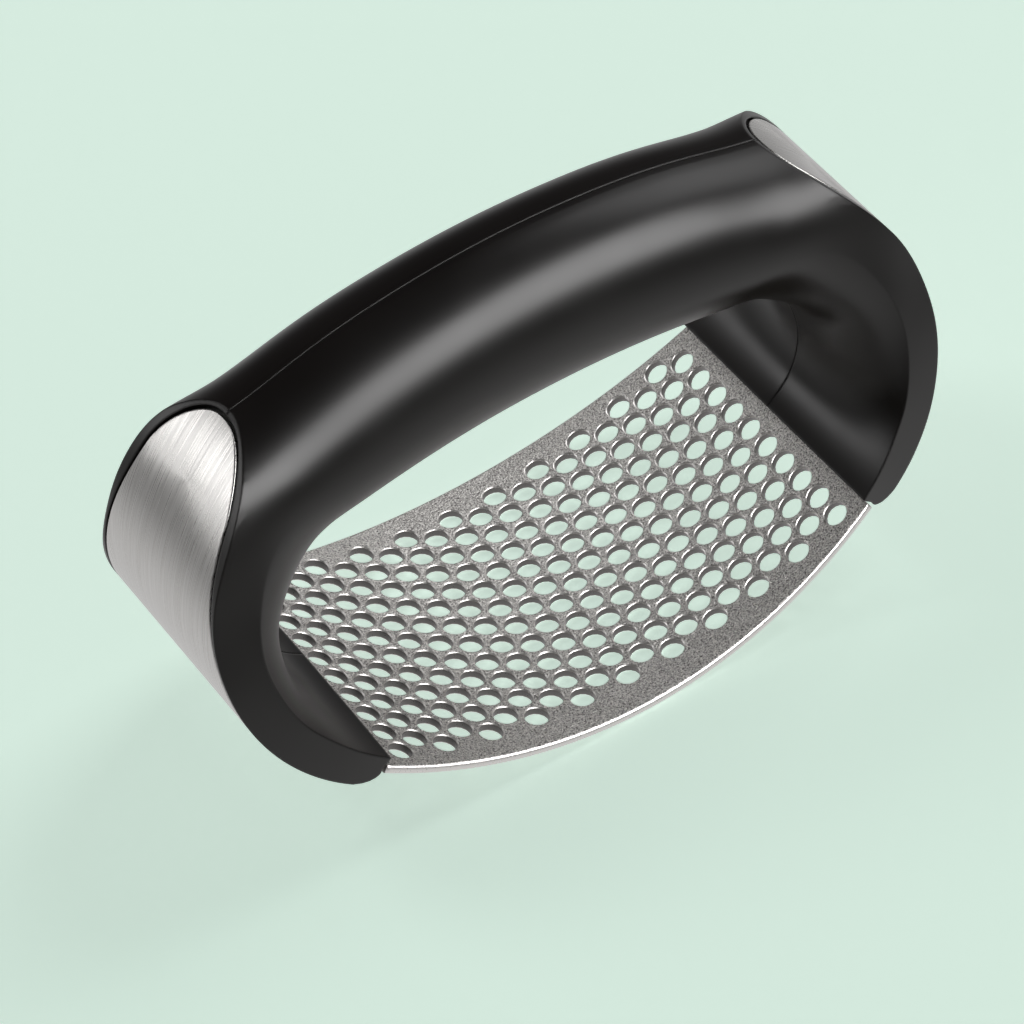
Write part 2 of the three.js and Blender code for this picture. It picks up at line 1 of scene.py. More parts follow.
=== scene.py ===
# %% [markdown]
# # A rocking garlic press
#
# The press is a bent steel plate full of holes, held between the two ends of a hollow black
# handle. The hand rocks it over a clove, and the garlic comes up through the holes. The packed
# frame already holds every piece in its place. This script builds the finished surfaces over
# that frame: round holes with softened rims, two smooth handle shells, and brushed end bands.

import math

import bmesh
import bpy
import numpy as np
from mathutils import Matrix, Vector


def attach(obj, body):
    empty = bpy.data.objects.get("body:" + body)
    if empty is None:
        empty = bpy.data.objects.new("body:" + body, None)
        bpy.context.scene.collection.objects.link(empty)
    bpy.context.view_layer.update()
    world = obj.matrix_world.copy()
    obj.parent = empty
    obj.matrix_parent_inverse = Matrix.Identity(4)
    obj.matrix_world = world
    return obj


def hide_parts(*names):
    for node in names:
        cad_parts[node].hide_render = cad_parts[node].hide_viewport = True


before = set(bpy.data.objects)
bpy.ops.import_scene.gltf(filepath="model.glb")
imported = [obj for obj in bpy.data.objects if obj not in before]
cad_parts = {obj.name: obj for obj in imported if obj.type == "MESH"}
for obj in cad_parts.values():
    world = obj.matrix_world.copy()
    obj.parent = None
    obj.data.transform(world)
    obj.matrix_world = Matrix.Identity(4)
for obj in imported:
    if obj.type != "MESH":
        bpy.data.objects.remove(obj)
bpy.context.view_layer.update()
MM = 0.001  # every length below is in millimetres until a piece is finished
print("frame pieces:", ", ".join(sorted(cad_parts)))

# %% [markdown]
# ## Working helpers
#
# Each piece starts as a bmesh in millimetres. One helper turns it into an object, one joins or
# cuts two solids, and one lays a grid over a curved surface by asking where each of its points
# goes. A grid keeps its rows in order, so edges and seams stay clean for later operators.


# %% Helpers for solids
WELD = 0.0005  # points closer than this are one point


def solid(name, bm):
    """Makes an object of a bmesh, with its doubles merged and its faces outward."""
    bmesh.ops.remove_doubles(bm, verts=bm.verts, dist=WELD)
    bmesh.ops.recalc_face_normals(bm, faces=bm.faces)
    mesh = bpy.data.meshes.new(name)
    bm.to_mesh(mesh)
    bm.free()
    piece = bpy.data.objects.new(name, mesh)
    bpy.context.scene.collection.objects.link(piece)
    return piece


def combine(piece, tool, operation):
    """Changes a solid with another one, which is used up: UNION, DIFFERENCE or INTERSECT."""
    change = piece.modifiers.new(operation, "BOOLEAN")
    change.operation = operation
    change.solver = "MANIFOLD"
    change.object = tool
    shown = piece.evaluated_get(bpy.context.evaluated_depsgraph_get())
    shaped = bpy.data.meshes.new_from_object(shown)
    piece.modifiers.clear()
    piece.data = shaped
    bpy.data.objects.remove(tool)


def laid_grid(across, along, place):
    """A sheet of cells whose points go where place(u, v) says, both running from 0 to 1."""
    bm = bmesh.new()
    bmesh.ops.create_grid(bm, x_segments=across, y_segments=along, size=0.5)
    for vert in bm.verts:
        vert.co = place(vert.co.x + 0.5, vert.co.y + 0.5)  # the grid is made round its middle
    return bm


def new_verts(result):
    """The points that an extrusion has just made."""
    return [part for part in result["geom"] if isinstance(part, bmesh.types.BMVert)]


def prism(name, outline, push):
    """A solid between a flat outline and its copy, pushed out by an offset."""
    bm = bmesh.new()
    bmesh.ops.create_circle(bm, cap_ends=True, segments=len(outline), radius=1)
    bm.verts.ensure_lookup_table()
    for vert, point in zip(bm.verts, outline):
        vert.co = point
    far_end = bmesh.ops.extrude_face_region(bm, geom=bm.faces[:])
    bmesh.ops.translate(bm, verts=new_verts(far_end), vec=push)
    return solid(name, bm)


print("helpers are ready; points weld within", WELD, "mm")

# %% [markdown]
# ## The lines of the side view
#
# Everything hangs on four arcs seen from the front: the rocker arc of the plate, the round end
# of each wall, the shoulder that leaves it in one smooth line, and the long crown of the grip.

# %% The arcs
ROCKER_RADIUS = 83.4
REST_FLAT = 0.1  # the lowest part of the rocker arc is flattened by this much
PLATE_THICKNESS = 1.5
PLATE_END = 31.35  # degrees from the middle of the plate to each visible end
END_CENTRE = Vector((30.9, 0, 37.6))
END_RADIUS = 30.8
SHOULDER_START = 29.55  # degrees up the end arc
SHOULDER_RADIUS = 52.2
GRIP_TOP = 74.9
CROWN_RADIUS = 143


def arc_point(centre, radius, degrees, y=0):
    """A point on an arc in the side view, at an angle up from the level."""
    angle = math.radians(degrees)
    return Vector((centre.x + radius * math.cos(angle), y, centre.z + radius * math.sin(angle)))


ROCKER_CENTRE = Vector((0, 0, ROCKER_RADIUS - REST_FLAT))
SHOULDER_CENTRE = arc_point(END_CENTRE, END_RADIUS - SHOULDER_RADIUS, SHOULDER_START)
CROWN_CENTRE = Vector((0, 0, GRIP_TOP - CROWN_RADIUS))


def on_plate(degrees, height=0, y=0):
    """A point above the underside of the plate, at an angle from straight down."""
    return arc_point(ROCKER_CENTRE, ROCKER_RADIUS - height, degrees - 90, y)


def on_end(degrees, depth=0, y=0):
    """A point on the end face: on the end arc, and on the shoulder arc from where it starts."""
    if degrees <= SHOULDER_START:
        return arc_point(END_CENTRE, END_RADIUS - depth, degrees, y)
    return arc_point(SHOULDER_CENTRE, SHOULDER_RADIUS - depth, degrees, y)


def on_crown(x, depth=0):
    """A point on the ridge of the grip, or below it by a depth."""
    ridge = Vector((x, 0, CROWN_CENTRE.z + math.sqrt(CROWN_RADIUS**2 - x**2)))
    return ridge + (CROWN_CENTRE - ridge).normalized() * depth


def end_angle_at(z):
    """The end-face angle at a height."""
    if z <= on_end(SHOULDER_START).z:
        return math.degrees(math.asin((z - END_CENTRE.z) / END_RADIUS))
    return math.degrees(math.asin((z - SHOULDER_CENTRE.z) / SHOULDER_RADIUS))


print("plate end", on_plate(PLATE_END), "shoulder start", on_end(SHOULDER_START))

# %% [markdown]
# ## The press plate
#
# The real plate is stamped from sheet, bent to the rocker arc and blasted to a fine grain. A
# grid laid along the arc gives the underside, extruding it inward gives the thickness, and a
# bevel rounds the long edges.

# %% Plate widths and slab
FRONT_END = 25.9  # from the middle to the front edge, at the ends of the plate
FRONT_BULGE = 3.4  # how much wider the plate is in its middle
REAR_END = 24.4
REAR_BULGE = 3.7
EDGE_ROUND = 0.55
CORNER_SHARPER_THAN = 60  # degrees between two faces that meet at a rim
ALONG_THE_ARC = 0.6  # a rim that points further across than this is not a long edge


def plate_edges(degrees):
    """Front and rear edge of the plate at an angle: narrowest at the ends, bulging between."""
    reach = on_plate(degrees).x / on_plate(PLATE_END).x
    bulge = 1 - reach**2
    return -FRONT_END - FRONT_BULGE * bulge, REAR_END + REAR_BULGE * bulge


def bent_slab(from_degrees, to_degrees, edges, gap=0, rows=12, across=6):
    """A slab that follows the rocker arc, thickened by a gap all round when it is a cutter."""

    def place(u, v):
        degrees = from_degrees + (to_degrees - from_degrees) * v
        front, rear = edges(degrees)
        return on_plate(degrees, -gap, front - gap + (rear - front + 2 * gap) * u)

    bm = laid_grid(across, rows, place)
    top = bmesh.ops.extrude_face_region(bm, geom=bm.faces[:])
    for vert in new_verts(top):
        inward = Vector((ROCKER_CENTRE.x - vert.co.x, 0, ROCKER_CENTRE.z - vert.co.z)).normalized()
        vert.co += inward * (PLATE_THICKNESS + 2 * gap)
    return bm


def round_long_edges(bm, width, segments=4):
    """Rounds the edges that run along the arc on both faces."""
    bmesh.ops.recalc_face_normals(bm, faces=bm.faces)
    rims = [
        edge
        for edge in bm.edges
        if len(edge.link_faces) == 2
        and edge.calc_face_angle() > math.radians(CORNER_SHARPER_THAN)
        and abs((edge.verts[1].co - edge.verts[0].co).normalized().y) < ALONG_THE_ARC
    ]
    bmesh.ops.bevel(
        bm, geom=rims, offset=width, offset_type="OFFSET", segments=segments, profile=0.5,
        affect="EDGES", material=-1,
    )


slab = bent_slab(-PLATE_END, PLATE_END, plate_edges, rows=150)
round_long_edges(slab, EDGE_ROUND)
plate = solid("pressing_plate", slab)
print("plate slab:", len(plate.data.polygons), "faces")

# %% [markdown]
# ### Its tabs
#
# A narrow neck runs on from each visible end of the plate, and widens into two ears that the
# wall of the handle locks in. The neck and the ears are two more bent slabs, joined to the
# plate, so they follow the same arc.

# %% Add a tab at each end
NECK_HALF = 17
EAR_HALF = 20
NECK_REACH = 2.4  # degrees past the visible end where the tab widens
TAB_REACH = 5.3  # degrees past the visible end where the tab stops
NECK_ROOT = -0.5  # the neck starts inside the plate, so that the two join


def tab(side, half_width, from_reach, to_reach, gap=0):
    """A piece of the tab past one visible end of the plate."""
    ends = sorted((side * (PLATE_END + from_reach), side * (PLATE_END + to_reach)))
    return bent_slab(*ends, lambda degrees: (-half_width, half_width), gap, rows=6)


for side in (-1, 1):
    combine(plate, solid("neck", tab(side, NECK_HALF, NECK_ROOT, TAB_REACH)), "UNION")
    combine(plate, solid("ears", tab(side, EAR_HALF, NECK_REACH, TAB_REACH)), "UNION")
print("plate with tabs:", len(plate.data.polygons), "faces")

# %% [markdown]
# ### Its holes
#
# The 21 rows of holes run across the press and are staggered by half a pitch, like the cells
# of a honeycomb. A single turned cutter carries the whole shape of a hole: a countersink
# underneath, a straight wall and a soft rim on top. Its half profile is spun round once, then
# copied to every place and cut away in one go, so each rim comes out the same.

# %% The cutter of one hole
HOLE_RADIUS = 1.88
RIM_ROUND = 0.24
COUNTERSINK_TOP = 0.3  # it closes at this height above the underside
COUNTERSINK = 0.32  # and it is this much wider than the hole as far below


def hole_cutter():
    """A turned cutter that stands on the underside, as radius and height from below upward."""
    soft = RIM_ROUND * (1 - math.sqrt(0.5))
    profile = [
        (0, -COUNTERSINK_TOP),
        (HOLE_RADIUS + COUNTERSINK, -COUNTERSINK_TOP),
        (HOLE_RADIUS, COUNTERSINK_TOP),
        (HOLE_RADIUS, PLATE_THICKNESS - RIM_ROUND),
        (HOLE_RADIUS + soft, PLATE_THICKNESS - soft),
        (HOLE_RADIUS + RIM_ROUND, PLATE_THICKNESS + 0.01),
        (HOLE_RADIUS + RIM_ROUND, PLATE_THICKNESS + 1),
        (0, PLATE_THICKNESS + 1),
    ]
    bm = bmesh.new()
    points = [bm.verts.new((radius, 0, height)) for radius, height in profile]
    line = [bm.edges.new(pair) for pair in zip(points, points[1:])]
    bmesh.ops.spin(
        bm, geom=points + line, cent=(0, 0, 0), axis=(0, 0, 1), angle=2 * math.pi, steps=16,
        use_merge=True,
    )
    bmesh.ops.remove_doubles(bm, verts=bm.verts, dist=WELD)
    bmesh.ops.recalc_face_normals(bm, faces=bm.faces)
    cutter = bpy.data.meshes.new("hole_cutter")
    bm.to_mesh(cutter)
    bm.free()
    return cutter


cutter = hole_cutter()
print("hole cutter:", len(cutter.polygons), "faces")

# %% Cut the holes
HOLE_PITCH = 4.7
HOLE_COLUMNS = 21
HOLES_PER_COLUMN = 10
MIDDLE_RADIUS = ROCKER_RADIUS - PLATE_THICKNESS / 2
COLUMN_ANGLE = math.degrees(HOLE_PITCH * math.sin(math.pi / 3) / MIDDLE_RADIUS)


def hole_places():
    """The angle and the place across of every hole, every other column half a pitch aside."""
    middle = (HOLE_COLUMNS - 1) / 2
    for column in range(HOLE_COLUMNS):
        degrees = (column - middle) * COLUMN_ANGLE
        stagger = -0.25 if column % 2 == 0 else 0.25
        for row in range(HOLES_PER_COLUMN):
            yield degrees, (row - (HOLES_PER_COLUMN - 1) / 2 + stagger) * HOLE_PITCH


all_holes = bmesh.new()
for degrees, y in hole_places():
    known = len(all_holes.verts)
    all_holes.from_mesh(cutter)
    all_holes.verts.ensure_lookup_table()
    upright = Matrix.Rotation(math.radians(-degrees), 4, "Y")
    stand = Matrix.Translation(on_plate(degrees, 0, y)) @ upright
    bmesh.ops.transform(all_holes, matrix=stand, verts=all_holes.verts[known:])
combine(plate, solid("holes", all_holes), "DIFFERENCE")
for vert in plate.data.vertices:
    vert.co.z = max(vert.co.z, 0)  # the flat that the press rests on
print("plate with holes:", len(plate.data.polygons), "faces")

# %% [markdown]
# ## The handle
#
# The handle is one tube bent into an arch. Near the plate its section is a wall with straight
# flanks and a crisp inner corner, and over the top it turns into the round grip. A section is
# set at each of a few stations, and a natural spline carries the numbers smoothly from one
# station to the next, so light runs over the surface without a ripple.

# %% Sections along the handle
FLANK_FOOT = 28.8  # half the width of a wall at table height
FLANK_LEAN = 0.27  # how much narrower it gets for each millimetre up
FLANK_TUCK = 0.2  # how much wider it gets for each millimetre inwards
GRIP_DEPTH = 27.2
LIFT = 0.25  # outward of LIFT_FROM the ridge rises by this much over every LIFT_OVER
LIFT_FROM = 31
LIFT_OVER = 14
OUTER_MARGIN = 3.2  # the tube is made this much too deep, and the end faces trim it

# end-face angle, depth of the inner face, depth of the inner corner, roundness
wall_stations = [
    (-65, 5.6, 5.3, 0),
    (-50, 6.8, 6.3, 0),
    (-34, 9.5, 6.5, 0),
    (-20, 12.5, 6.4, 0),
    (-3, 15.8, 6.3, 0.05),
    (18, 20.2, 6.4, 0.25),
]
# x on the crown, x underneath, rise of the underside, widest share, half width, roundness
grip_stations = [
    (57, 35.5, -4.0, 0.44, 14.8, 0.78),
    (45, 29, -2.2, 0.48, 13.8, 1),
    (31, 21, -1, 0.5, 13.7, 1),
    (15.5, 11, -0.25, 0.5, 13.5, 1),
    (0, 0, 0, 0.5, 13.4, 1),
]


def flank_half_width(z, depth):
    """Half the width of a wall at a height, and at a depth behind the end face."""
    return FLANK_FOOT - FLANK_LEAN * z + FLANK_TUCK * depth


def wall_section(angle, inside, corner, roundness):
    """The numbers of a section through a wall."""
    outer = arc_point(END_CENTRE, END_RADIUS + OUTER_MARGIN, angle)
    inner = arc_point(END_CENTRE, END_RADIUS - inside, angle)
    at_corner = arc_point(END_CENTRE, END_RADIUS - corner, angle)
    at_face = arc_point(END_CENTRE, END_RADIUS, angle)
    return [
        outer.x, outer.z, inner.x, inner.z,
        (corner + OUTER_MARGIN) / (inside + OUTER_MARGIN), roundness,
        flank_half_width(at_corner.z, corner), flank_half_width(at_face.z, -2 * OUTER_MARGIN),
    ]


def grip_section(top_x, under_x, rise, widest, half_width, roundness):
    """The numbers of a section through the grip."""
    top = on_crown(top_x)
    top.z += LIFT * max(0, top_x - LIFT_FROM) / LIFT_OVER
    under_z = GRIP_TOP - GRIP_DEPTH + rise
    return [top.x, top.z, under_x, under_z, widest, roundness, half_width, half_width]


right_half = [wall_section(*s) for s in wall_stations] + [grip_section(*s) for s in grip_stations]
left_half = [[-s[0], s[1], -s[2], *s[3:]] for s in reversed(right_half[:-1])]
stations = np.array(right_half + left_half)
print("stations along the handle:", len(stations))

# %% [markdown]
# ### From stations to a skin
#
# A spline gives the section at any place between two stations, and a second helper walks round
# that section. Its two extremes are a wall with straight flanks and a round grip, and each
# section is a mix of both. Asking these two for every point of a grid gives the whole tube.


# %% Spline through the stations
def bending_terms(rows):
    """The second differences of a natural spline, one row for each station."""
    count = len(rows)
    ties = np.eye(count)
    pulls = np.zeros_like(rows)
    for i in range(1, count - 1):
        ties[i, i - 1 : i + 2] = 1 / 6, 4 / 6, 1 / 6
        pulls[i] = rows[i - 1] - 2 * rows[i] + rows[i + 1]
    return np.linalg.solve(ties, pulls)


def station_at(rows, bends, t):
    """The station numbers at a place between stations, such as 2.5."""
    i = min(int(t), len(rows) - 2)
    b = t - i
    a = 1 - b
    return (
        a * rows[i] + b * rows[i + 1]
        + ((a**3 - a) * bends[i] + (b**3 - b) * bends[i + 1]) / 6
    )


stations_bends = bending_terms(stations)
print("strongest bend of the spline:", round(float(np.abs(stations_bends).max()), 2))

# %% Bend the tube
FLANK_SHARE = 0.12  # share of a turn round the section that each flank takes


def ring_point(numbers, u, inset):
    """A point on a section: u from 0 to 0.5 runs over the outside, then back underneath."""
    outer_x, outer_z, inner_x, inner_z, widest, roundness, corner_half, face_half = numbers
    outer = Vector((outer_x, 0, outer_z))
    inner = Vector((inner_x, 0, inner_z))
    depth = (inner - outer).length
    down = (inner - outer).normalized()
    roundness = min(max(roundness, 0), 1)
    middle = widest * depth
    corner_half -= inset
    face_half -= inset
    turn = 2 * math.pi * (u if u <= 0.5 else u - 0.5)
    if u > 0.5:  # the underside, rounder on a grip than on a wall
        swell = math.sin(turn) ** (2 - roundness)
        y = -corner_half * math.cos(turn)
        return outer + down * (middle + (depth - inset - middle) * swell) + Vector((0, y, 0))
    # the same point on a wall, which has a straight flank and a flat face
    from_side = min(u, 0.5 - u) / FLANK_SHARE
    side = 1 if u <= 0.25 else -1
    if from_side <= 1:
        wall_y = side * (corner_half + (face_half - corner_half) * from_side)
        wall_d = middle + (inset - middle) * from_side
    else:
        wall_y = side * face_half * (0.25 - min(u, 0.5 - u)) / (0.25 - FLANK_SHARE)
        wall_d = inset
    # and on a round grip
    round_y = corner_half * math.cos(turn)
    round_d = middle - (middle - inset) * math.sin(turn)
    y = wall_y + (round_y - wall_y) * roundness
    d = wall_d + (round_d - wall_d) * roundness
    return outer + down * d + Vector((0, y, 0))


def tube(name, inset, first, last, around, along):
    """The bent tube between two stations, closed at both ends."""

    def place(u, v):
        numbers = station_at(stations, stations_bends, first + (last - first) * v)
        return ring_point(numbers, u % 1, inset)

    bm = laid_grid(around, along, place)
    bmesh.ops.remove_doubles(bm, verts=bm.verts, dist=WELD)
    bmesh.ops.holes_fill(bm, edges=bm.edges)
    return solid(name, bm)


handle = tube("handle", 0, 0, len(stations) - 1, 72, 200)
print("handle tube:", len(handle.data.polygons), "faces")

# %% [markdown]
# ### Trimming the tube
#
# The end faces are flat across the press, so a side view pushed across it trims the tube: the
# noses under the plate, both round ends and their shoulders. What the trim meets at an angle
# becomes the crisp outline round each end band.

# %% Trim to the side view
# the rounded nose below each end of the plate, as steps outward and up from the plate's corner
NOSE_STEPS = ((0.15, 0.9), (0.3, 0.35), (0.7, -0.1), (1.3, -0.4), (2.2, -0.6), (3.3, -0.5))
LIP_HEIGHT = 1.75
END_FACE_START = -56  # degrees up the end arc
SHOULDER_SWEEP = 34
ABOVE_GRIP = Vector((20, 0, GRIP_TOP + 10))  # the block stands clear of the crown
WIDE = 45  # half the width of the blocks that trim


def side_outline(depth=0):
    """The side view of the handle, with the end faces set back by a depth."""
    nose = on_plate(PLATE_END)
    lip = on_plate(PLATE_END, PLATE_THICKNESS + LIP_HEIGHT)
    end_face = np.linspace(END_FACE_START, SHOULDER_START + SHOULDER_SWEEP, 90)
    right = [
        lip,
        *[nose + Vector((outward, 0, rise)) for outward, rise in NOSE_STEPS],
        *[on_end(float(degrees), depth) for degrees in end_face],
        ABOVE_GRIP,
    ]
    left = [Vector((-point.x, 0, point.z)) for point in reversed(right)]
    return right + left


def side_block(name, depth=0):
    """The side view pushed right across the press."""
    return prism(name, [p + Vector((0, -WIDE, 0)) for p in side_outline(depth)], (0, 2 * WIDE, 0))


combine(handle, side_block("trim"), "INTERSECT")
print("trimmed handle:", len(handle.data.polygons), "faces")

# %% [markdown]
# ## The end bands
#
# Each band is a strip of stainless sheet with a straight foot and a round top, curved over the
# end face. Its outline is a half width for each height. The same helper makes the strip, the
# pocket that it sits in and the plastic behind that pocket, by changing depth and margin.

# %% Tongue-shaped layers of the end face
BAND_FOOT_Z = 16.6
BAND_FOOT_HALF = 21.9
BAND_CHAMFER = 2
BAND_NECK_Z = 58.5  # the straight sides end here and the round top begins
BAND_NECK_HALF = 11.4
BAND_TOP_Z = 66.9
BAND_FULLNESS = 0.43  # an ellipse has 0.5; less makes the round top fuller


def band_half_width(z, extra):
    """Half the width of the band at a height, grown by a margin all round."""
    foot = BAND_FOOT_Z - extra
    top = BAND_TOP_Z + extra
    lean = (BAND_FOOT_HALF - BAND_NECK_HALF) / (BAND_NECK_Z - BAND_FOOT_Z - BAND_CHAMFER)
    half = BAND_NECK_HALF + extra + lean * (BAND_NECK_Z - z)
    if z < foot + BAND_CHAMFER:
        half -= BAND_CHAMFER - (z - foot)
    if z > BAND_NECK_Z:
        half *= max(0, 1 - ((z - BAND_NECK_Z) / (top - BAND_NECK_Z)) ** 2) ** BAND_FULLNESS
    return half


def tongue(depth, thickness, extra, across=16, along=70):
    """A layer behind the right end face, from a depth outwards by a thickness."""
    foot = BAND_FOOT_Z - extra
    top = BAND_TOP_Z + extra

    def place(u, v):
        share = 1 - (1 - v) ** 2  # the rows close up towards the round top
        degrees = end_angle_at(foot) + (end_angle_at(top) - end_angle_at(foot)) * share
        z = on_end(degrees).z
        return on_end(degrees, depth, band_half_width(z, extra) * (2 * u - 1))

    bm = laid_grid(across, along, place)
    bmesh.ops.remove_doubles(bm, verts=bm.verts, dist=WELD)
    outside = bmesh.ops.extrude_face_region(bm, geom=bm.faces[:])
    for vert in new_verts(outside):
        on_arc = (vert.co - END_CENTRE).z / END_RADIUS <= math.sin(math.radians(SHOULDER_START))
        centre = END_CENTRE if on_arc else SHOULDER_CENTRE
        outward = Vector((vert.co.x - centre.x, 0, vert.co.z - centre.z)).normalized()
        vert.co += outward * thickness
    return bm


print("band half width at 40 mm:", round(band_half_width(40, 0), 2))

# %% [markdown]
# ### Hollow shells with pockets
#
# Inside, the handle is hollow, with a solid boss round each fitting. A fitting's own frame
# piece gives both: its hull pushed out by a wall is the boss, and its hull pushed out by the
# fit gap is the pocket. The band pockets and the slot for the plate are cut the same way.

# %% Boss and pocket shapes
SHELL_WALL = 2.4
FIT_GAP = 0.3
HULL_SPREAD = 1.4  # a corner moves out by more than a face does
FITTINGS = [name for name in sorted(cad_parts) if "dowel" in name or "tie" in name]


def hull_round(node, margin):
    """The hull of a frame piece, pushed out by a margin."""
    bm = bmesh.new()
    bm.from_mesh(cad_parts[node].data)
    bmesh.ops.scale(bm, vec=(1 / MM,) * 3, verts=bm.verts)
    bmesh.ops.remove_doubles(bm, verts=bm.verts, dist=0.001)
    hull = bmesh.ops.convex_hull(bm, input=bm.verts)
    inside = set(hull["geom_interior"] + hull["geom_unused"])
    inside = [v for v in inside if isinstance(v, bmesh.types.BMVert)]
    bmesh.ops.delete(bm, geom=inside, context="VERTS")
    centre = sum((v.co for v in bm.verts), Vector()) / len(bm.verts)
    for vert in bm.verts:
        vert.co += (vert.co - centre).normalized() * margin * HULL_SPREAD
    again = bmesh.ops.convex_hull(bm, input=bm.verts)
    kept = {f for f in again["geom"] if isinstance(f, bmesh.types.BMFace)}
    bmesh.ops.delete(bm, geom=[f for f in bm.faces if f not in kept], context="FACES_ONLY")
    return solid(node + "_room", bm)


def as_made(bm):
    """The right end keeps the shape as it was made."""
    return bm


def mirrored(bm):
    """The left end takes its mirror image, with the faces turned outward again."""
    bmesh.ops.scale(bm, vec=(-1, 1, 1), verts=bm.verts)
    bmesh.ops.reverse_faces(bm, faces=bm.faces)
    return bm


print("fittings:", ", ".join(FITTINGS))

# %% Hollow the handle and cut its pockets
POCKET_DEPTH = 1.6
BAND_GAP = 0.45
FLOOR_WALL = 1.9  # plastic left behind a band's pocket
FLOOR_RIM = 1.4  # and round it
FLOOR_REACH = 8  # how far each tool runs outward, which is past the end face
POCKET_REACH = 6
CORE_START = 3  # the hollow starts at this station

hollow = tube("hollow", SHELL_WALL, CORE_START, len(stations) - 1 - CORE_START, 36, 90)
combine(hollow, side_block("core", SHELL_WALL), "INTERSECT")
for fitting in FITTINGS:
    combine(hollow, hull_round(fitting, SHELL_WALL), "DIFFERENCE")
for flip in (as_made, mirrored):
    floor = tongue(POCKET_DEPTH + FLOOR_WALL, FLOOR_REACH, FLOOR_RIM)
    combine(hollow, solid("pocket_floor", flip(floor)), "DIFFERENCE")
combine(handle, hollow, "DIFFERENCE")
for fitting in FITTINGS:
    combine(handle, hull_round(fitting, FIT_GAP), "DIFFERENCE")
for flip in (as_made, mirrored):
    pocket = tongue(POCKET_DEPTH, POCKET_REACH, BAND_GAP)
    combine(handle, solid("pocket", flip(pocket)), "DIFFERENCE")
print("hollow handle:", len(handle.data.polygons), "faces")

# %% Cut the slot for the plate
SLOT_ROOT = -1  # the slot opens into the room for the plate
PLATE_GAP = 0.04

for side in (-1, 1):
    neck_slot = tab(side, NECK_HALF, SLOT_ROOT, TAB_REACH, FIT_GAP)
    combine(handle, solid("neck_slot", neck_slot), "DIFFERENCE")
    ear_slot = tab(side, EAR_HALF, NECK_REACH, TAB_REACH, FIT_GAP)
    combine(handle, solid("ear_slot", ear_slot), "DIFFERENCE")
plate_room = bent_slab(-PLATE_END - PLATE_GAP, PLATE_END + PLATE_GAP, plate_edges, PLATE_GAP, rows=60)
combine(handle, solid("plate_room", plate_room), "DIFFERENCE")
print("handle with slots:", len(handle.data.polygons), "faces")

# %% [markdown]
# ### Two halves
#
# The handle is moulded as a front and a rear shell that meet in the middle plane. Cutting the
# finished handle with a block on either side leaves the same fine seam all the way round.

# %% Split along the seam
SEAM_GAP = 0.1
BLOCK = 200  # larger than the press
BLOCK_HEIGHT = 40


def half_of(whole, name, side):
    """The part of the handle on one side of the seam."""
    piece = whole.copy()
    piece.data = whole.data.copy()
    piece.name = name
    bpy.context.scene.collection.objects.link(piece)
    bm = bmesh.new()
    bmesh.ops.create_cube(bm, size=BLOCK)
    beside = (0, side * (BLOCK + SEAM_GAP) / 2, BLOCK_HEIGHT)
    bmesh.ops.translate(bm, verts=bm.verts, vec=beside)
    combine(piece, solid("half_space", bm), "INTERSECT")
    return piece


front_shell = half_of(handle, "front_handle_shell", -1)
rear_shell = half_of(handle, "rear_handle_shell", 1)
bpy.data.objects.remove(handle)
print("shells:", len(front_shell.data.polygons), len(rear_shell.data.polygons), "faces")

# %% [markdown]
# ### The bands themselves
#
# The strip is the thin layer nearest to the end face. A small bevel on its rim stands for the
# tumbled edge of the real sheet, and draws the bright line round each band.

# %% Make the bands
BAND_THICKNESS = 1.2
BAND_EDGE = 0.22
RIM_SHARPER_THAN = 50  # degrees


def end_band(name, flip):
    """A strip with a softened rim, flush with one end face."""
    bm = tongue(BAND_THICKNESS, BAND_THICKNESS, 0, across=24, along=90)
    bmesh.ops.recalc_face_normals(bm, faces=bm.faces)
    rims = [
        edge
        for edge in bm.edges
        if len(edge.link_faces) == 2
        and edge.calc_face_angle() > math.radians(RIM_SHARPER_THAN)
    ]
    bmesh.ops.bevel(
        bm, geom=rims, offset=BAND_EDGE, offset_type="OFFSET", segments=3, profile=0.5,
        affect="EDGES", material=-1,
    )
    return solid(name, flip(bm))


right_band = end_band("right_brushed_band", as_made)
left_band = end_band("left_brushed_band", mirrored)
print("bands:", len(right_band.data.polygons), "faces each")

# %% [markdown]
# ## Finishing the meshes
#
# All pieces are still in millimetres, so one scale brings them into the frame. Faces shade
# smoothly except across corners sharper than a set angle, and weighted normals keep the wide
# faces of the plate calm between their many small rims.


# %% Smooth shading
WIDE_FACE_WEIGHT = 70  # 50 would let small and wide faces count alike


def finish_surface(piece, sharp_degrees):
    """Brings a piece to metres, at the origin, and shades it smoothly between its corners."""
    piece.data.transform(Matrix.Scale(MM, 4))
    piece.data.polygons.foreach_set("use_smooth", [True] * len(piece.data.polygons))
    piece.data.set_sharp_from_angle(angle=math.radians(sharp_degrees))
    weighted = piece.modifiers.new("calm_faces", "WEIGHTED_NORMAL")
    weighted.keep_sharp = True
    weighted.weight = WIDE_FACE_WEIGHT
    piece.data.update()


for piece, sharp_degrees in (
    (plate, 50), (front_shell, 16), (rear_shell, 16), (right_band, 60), (left_band, 60),
):
    finish_surface(piece, sharp_degrees)
    print(piece.name, len(piece.data.polygons), "faces")

# %% [markdown]
# ## Materials
#
# Each finish is named for what it really is. One helper adds a shader node with its settings,
# values and links. All patterns read the object's own coordinates, which are metres, so the
# scale of a pattern is one over the size of its grains in metres.


# %% Node helpers
def colour(hex_code):
    """An sRGB hex colour as the linear values that a shader socket takes."""
    parts = [int(hex_code[i : i + 2], 16) / 255 for i in (0, 2, 4)]
    linear = [p / 12.92 if p <= 0.04045 else ((p + 0.055) / 1.055) ** 2.4 for p in parts]
    return (*linear, 1)


